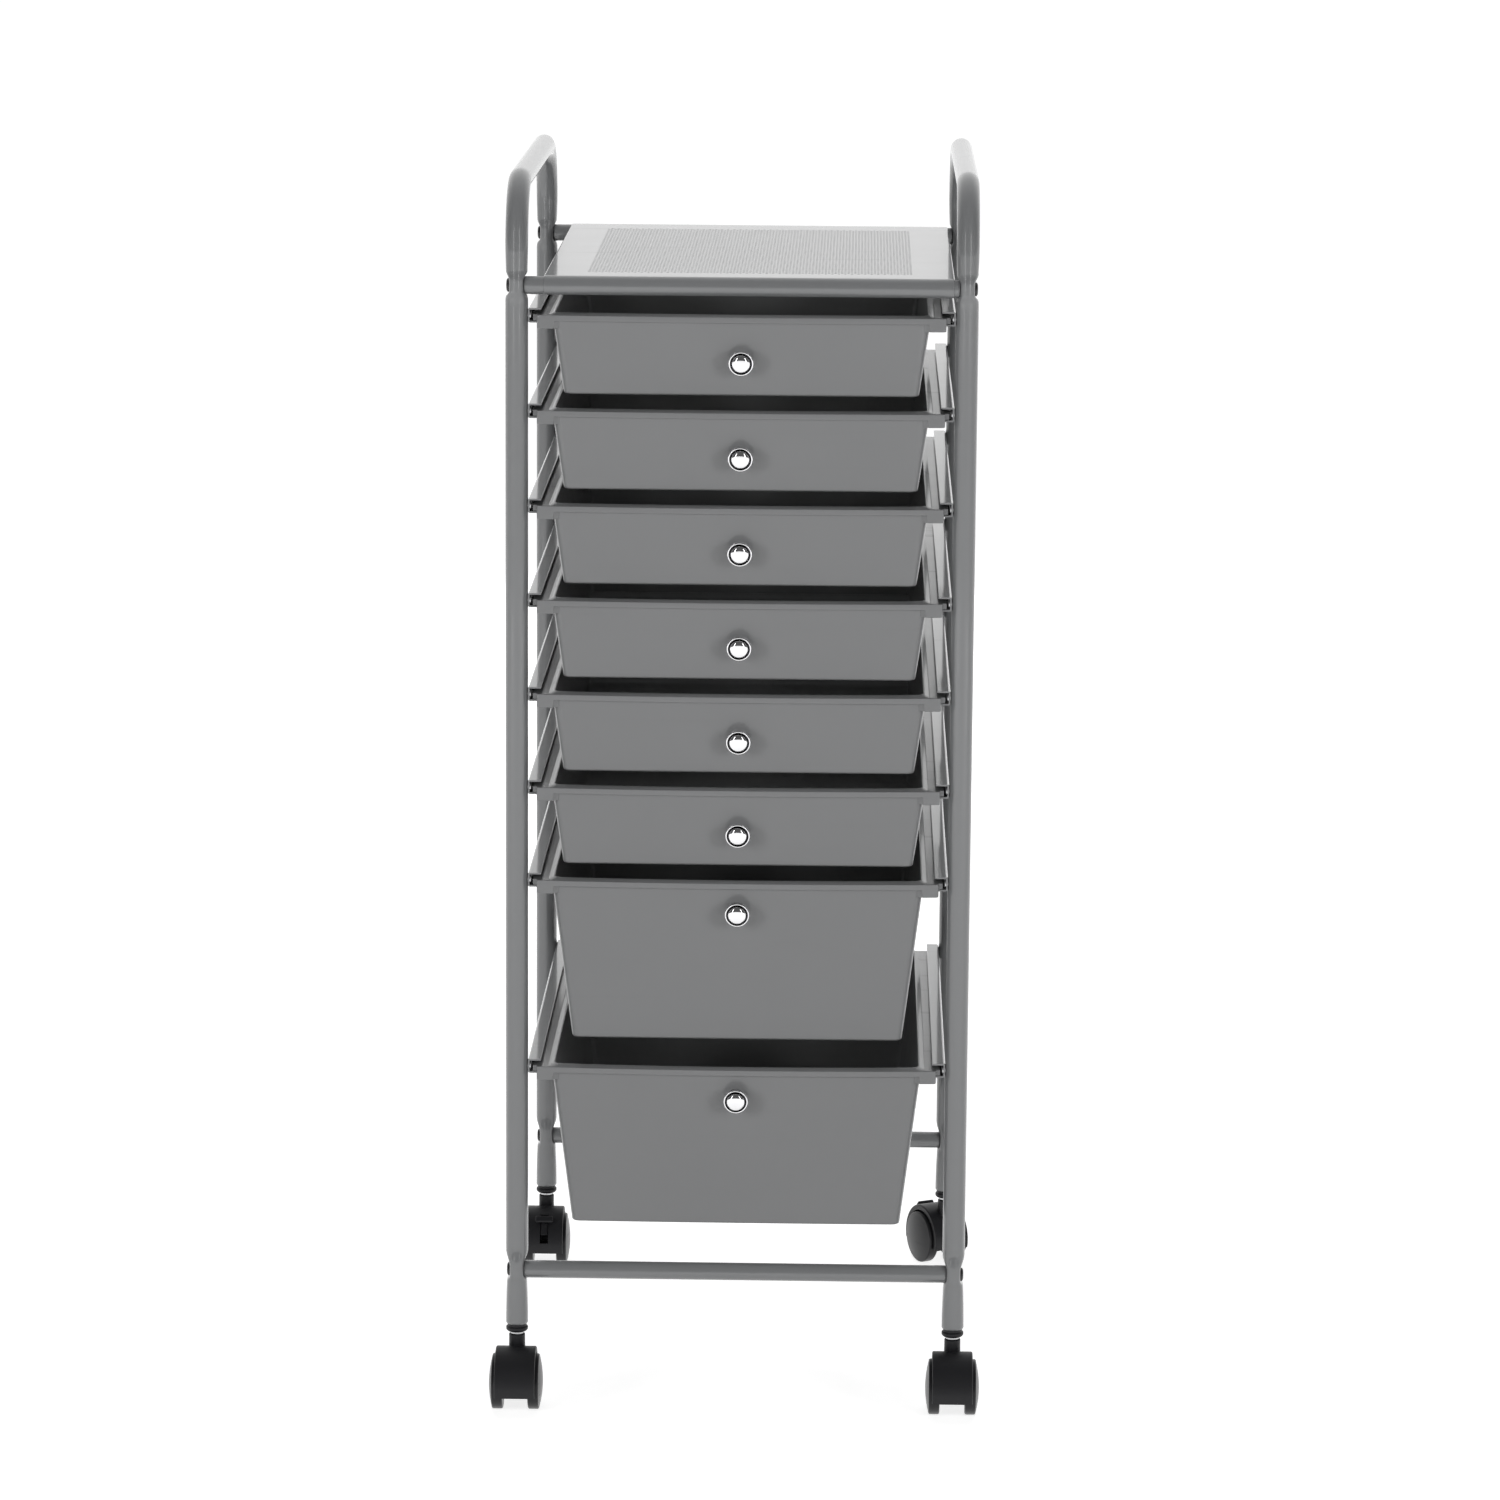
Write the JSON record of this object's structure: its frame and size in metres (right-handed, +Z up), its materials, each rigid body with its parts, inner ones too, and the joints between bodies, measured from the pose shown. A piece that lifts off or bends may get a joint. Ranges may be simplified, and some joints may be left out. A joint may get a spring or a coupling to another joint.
{
  "type": "rolling drawer cart",
  "caption": "Tall narrow drawer cart on swivel casters: bent tube side frames with handle arches, a perforated sheet top and grey plastic drawers with round knobs that slide on channel rails.",
  "frame": {"origin": "on the floor, midway between the four posts", "axes": "+Z up, X across the cart, the drawers open towards -Y"},
  "size_m": [0.3528, 0.4569, 0.888],
  "materials": {
    "frame_paint": "glossy grey paint",
    "rail_paint": "glossy grey paint",
    "panel_paint": "glossy grey paint on perforated sheet",
    "drawer_plastic": "satin moulded grey plastic",
    "knob_chrome": "polished",
    "bare_steel": "zinc plated",
    "black_screw": "blackened",
    "black_plastic": "satin moulded black plastic",
    "wheel_plastic": "smooth black plastic"
  },
  "bodies": {
    "frame": {"side_frame_right": "frame_paint", "side_frame_left": "frame_paint", "bottom_rod_front": "frame_paint", "bottom_rod_rear": "frame_paint", "top_rod_front": "frame_paint", "top_rod_rear": "frame_paint", "rod_inserts": "bare_steel", "rod_screws": "black_screw", "top_panel": "panel_paint", "rails_left": "rail_paint", "rails_right": "rail_paint", "rail_screws": "bare_steel", "tube_plugs": "black_plastic", "caster_stems": "bare_steel"},
    "drawer_unit_1": {"drawer_1": "drawer_plastic", "knob_1": "knob_chrome", "knob_screw_1": "bare_steel"},
    "drawer_unit_2": {"drawer_2": "drawer_plastic", "knob_2": "knob_chrome", "knob_screw_2": "bare_steel"},
    "drawer_unit_3": {"drawer_3": "drawer_plastic", "knob_3": "knob_chrome", "knob_screw_3": "bare_steel"},
    "drawer_unit_4": {"drawer_4": "drawer_plastic", "knob_4": "knob_chrome", "knob_screw_4": "bare_steel"},
    "drawer_unit_5": {"drawer_5": "drawer_plastic", "knob_5": "knob_chrome", "knob_screw_5": "bare_steel"},
    "drawer_unit_6": {"drawer_6": "drawer_plastic", "knob_6": "knob_chrome", "knob_screw_6": "bare_steel"},
    "drawer_unit_7": {"drawer_7": "drawer_plastic", "knob_7": "knob_chrome", "knob_screw_7": "bare_steel"},
    "drawer_unit_8": {"drawer_8": "drawer_plastic", "knob_8": "knob_chrome", "knob_screw_8": "bare_steel"},
    "caster_front_left": {"caster_hood_front_left": "black_plastic", "caster_axle_front_left": "bare_steel"},
    "roller_left_front_left": {"wheel_left_front_left": "wheel_plastic"},
    "roller_right_front_left": {"wheel_right_front_left": "wheel_plastic"},
    "caster_front_right": {"caster_hood_front_right": "black_plastic", "caster_axle_front_right": "bare_steel"},
    "roller_left_front_right": {"wheel_left_front_right": "wheel_plastic"},
    "roller_right_front_right": {"wheel_right_front_right": "wheel_plastic"},
    "caster_rear_left": {"caster_hood_rear_left": "black_plastic", "caster_axle_rear_left": "bare_steel"},
    "roller_left_rear_left": {"wheel_left_rear_left": "wheel_plastic"},
    "roller_right_rear_left": {"wheel_right_rear_left": "wheel_plastic"},
    "brake_rear_left": {"brake_lever_rear_left": "black_plastic"},
    "caster_rear_right": {"caster_hood_rear_right": "black_plastic", "caster_axle_rear_right": "bare_steel"},
    "roller_left_rear_right": {"wheel_left_rear_right": "wheel_plastic"},
    "roller_right_rear_right": {"wheel_right_rear_right": "wheel_plastic"},
    "brake_rear_right": {"brake_lever_rear_right": "black_plastic"}
  },
  "joints": [
    {"name": "drawer_1_slide", "type": "slide", "parent": "frame", "child": "drawer_unit_1", "axis": [0, -1, 0], "range_m": [0, 0.28]},
    {"name": "drawer_2_slide", "type": "slide", "parent": "frame", "child": "drawer_unit_2", "axis": [0, -1, 0], "range_m": [0, 0.28]},
    {"name": "drawer_3_slide", "type": "slide", "parent": "frame", "child": "drawer_unit_3", "axis": [0, -1, 0], "range_m": [0, 0.28]},
    {"name": "drawer_4_slide", "type": "slide", "parent": "frame", "child": "drawer_unit_4", "axis": [0, -1, 0], "range_m": [0, 0.28]},
    {"name": "drawer_5_slide", "type": "slide", "parent": "frame", "child": "drawer_unit_5", "axis": [0, -1, 0], "range_m": [0, 0.28]},
    {"name": "drawer_6_slide", "type": "slide", "parent": "frame", "child": "drawer_unit_6", "axis": [0, -1, 0], "range_m": [0, 0.28]},
    {"name": "drawer_7_slide", "type": "slide", "parent": "frame", "child": "drawer_unit_7", "axis": [0, -1, 0], "range_m": [0, 0.28]},
    {"name": "drawer_8_slide", "type": "slide", "parent": "frame", "child": "drawer_unit_8", "axis": [0, -1, 0], "range_m": [0, 0.28]},
    {"name": "swivel_front_left", "type": "hinge", "parent": "frame", "child": "caster_front_left", "pos_m": [-0.157, -0.189, 0.052], "axis": [0, 0, 1], "continuous": true},
    {"name": "spin_left_front_left", "type": "hinge", "parent": "caster_front_left", "child": "roller_left_front_left", "pos_m": [-0.157, -0.202, 0.02], "axis": [1, 0, 0], "continuous": true},
    {"name": "spin_right_front_left", "type": "hinge", "parent": "caster_front_left", "child": "roller_right_front_left", "pos_m": [-0.157, -0.202, 0.02], "axis": [1, 0, 0], "continuous": true},
    {"name": "swivel_front_right", "type": "hinge", "parent": "frame", "child": "caster_front_right", "pos_m": [0.157, -0.189, 0.052], "axis": [0, 0, 1], "continuous": true},
    {"name": "spin_left_front_right", "type": "hinge", "parent": "caster_front_right", "child": "roller_left_front_right", "pos_m": [0.157, -0.202, 0.02], "axis": [1, 0, 0], "continuous": true},
    {"name": "spin_right_front_right", "type": "hinge", "parent": "caster_front_right", "child": "roller_right_front_right", "pos_m": [0.157, -0.202, 0.02], "axis": [1, 0, 0], "continuous": true},
    {"name": "swivel_rear_left", "type": "hinge", "parent": "frame", "child": "caster_rear_left", "pos_m": [-0.157, 0.189, 0.052], "axis": [0, 0, 1], "continuous": true},
    {"name": "spin_left_rear_left", "type": "hinge", "parent": "caster_rear_left", "child": "roller_left_rear_left", "pos_m": [-0.157, 0.176, 0.02], "axis": [1, 0, 0], "continuous": true},
    {"name": "spin_right_rear_left", "type": "hinge", "parent": "caster_rear_left", "child": "roller_right_rear_left", "pos_m": [-0.157, 0.176, 0.02], "axis": [1, 0, 0], "continuous": true},
    {"name": "press_brake_rear_left", "type": "hinge", "parent": "caster_rear_left", "child": "brake_rear_left", "pos_m": [-0.157, 0.16377, 0.03223], "axis": [1, 0, 0], "range_deg": [0, 18]},
    {"name": "swivel_rear_right", "type": "hinge", "parent": "frame", "child": "caster_rear_right", "pos_m": [0.157, 0.189, 0.052], "axis": [0, 0, 1], "continuous": true},
    {"name": "spin_left_rear_right", "type": "hinge", "parent": "caster_rear_right", "child": "roller_left_rear_right", "pos_m": [0.1509, 0.20048, 0.02], "axis": [-0.8829, -0.4695, 0], "continuous": true},
    {"name": "spin_right_rear_right", "type": "hinge", "parent": "caster_rear_right", "child": "roller_right_rear_right", "pos_m": [0.1509, 0.20048, 0.02], "axis": [-0.8829, -0.4695, 0], "continuous": true},
    {"name": "press_brake_rear_right", "type": "hinge", "parent": "caster_rear_right", "child": "brake_rear_right", "pos_m": [0.14515, 0.21128, 0.03223], "axis": [-0.8829, -0.4695, 0], "range_deg": [0, 18]}
  ]
}
